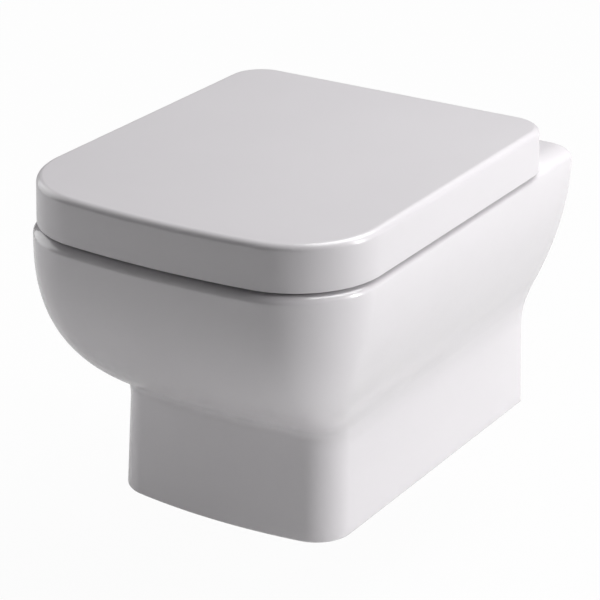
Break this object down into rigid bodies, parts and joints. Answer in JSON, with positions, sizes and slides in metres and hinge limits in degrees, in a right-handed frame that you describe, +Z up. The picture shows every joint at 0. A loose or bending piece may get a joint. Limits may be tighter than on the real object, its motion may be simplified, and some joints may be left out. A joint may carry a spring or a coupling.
{
  "type": "wall hung toilet",
  "caption": "Rimmed wall hung toilet pan with a narrow lower body, a ring seat and a deep flat lid on soft-closing hinges, hung on two wall bolts.",
  "frame": {"origin": "midway between the two wall bolts, in the plane of the wall", "axes": "+X to the right seen from the front, +Y into the wall, so the front of the pan faces -Y, +Z up"},
  "size_m": [0.3582, 0.499, 0.339],
  "materials": {
    "vitreous_china": "gloss white glaze",
    "thermoset_white": "gloss",
    "rubber_grey": "matte",
    "stainless_steel": "satin",
    "polished_steel": "polished",
    "cast_zinc": "satin plated",
    "nylon": "matte",
    "damper_plastic": "matte"
  },
  "bodies": {
    "pan": {"pan": "vitreous_china", "wall_sleeves": "nylon", "wall_washers": "stainless_steel", "wall_nuts": "stainless_steel", "hinge_post_left": "cast_zinc", "hinge_post_right": "cast_zinc", "hinge_covers": "polished_steel", "hinge_gaskets": "rubber_grey", "hinge_pin_left": "stainless_steel", "hinge_pin_right": "stainless_steel", "seat_bolts": "stainless_steel", "seat_bolt_bushes": "rubber_grey", "seat_bolt_washers": "nylon", "seat_wing_nuts": "nylon"},
    "seat": {"seat_ring": "thermoset_white", "seat_feet": "rubber_grey", "seat_damper": "damper_plastic", "seat_bush": "nylon"},
    "lid": {"lid": "thermoset_white", "lid_feet": "rubber_grey", "lid_damper": "damper_plastic", "lid_bush": "nylon"}
  },
  "joints": [
    {"name": "seat_hinge", "type": "hinge", "parent": "pan", "child": "seat", "pos_m": [0, -0.073, 0.118], "axis": [-1, 0, 0], "range_deg": [0, 93]},
    {"name": "lid_hinge", "type": "hinge", "parent": "seat", "child": "lid", "pos_m": [0, -0.073, 0.118], "axis": [-1, 0, 0], "range_deg": [0, 93]}
  ]
}
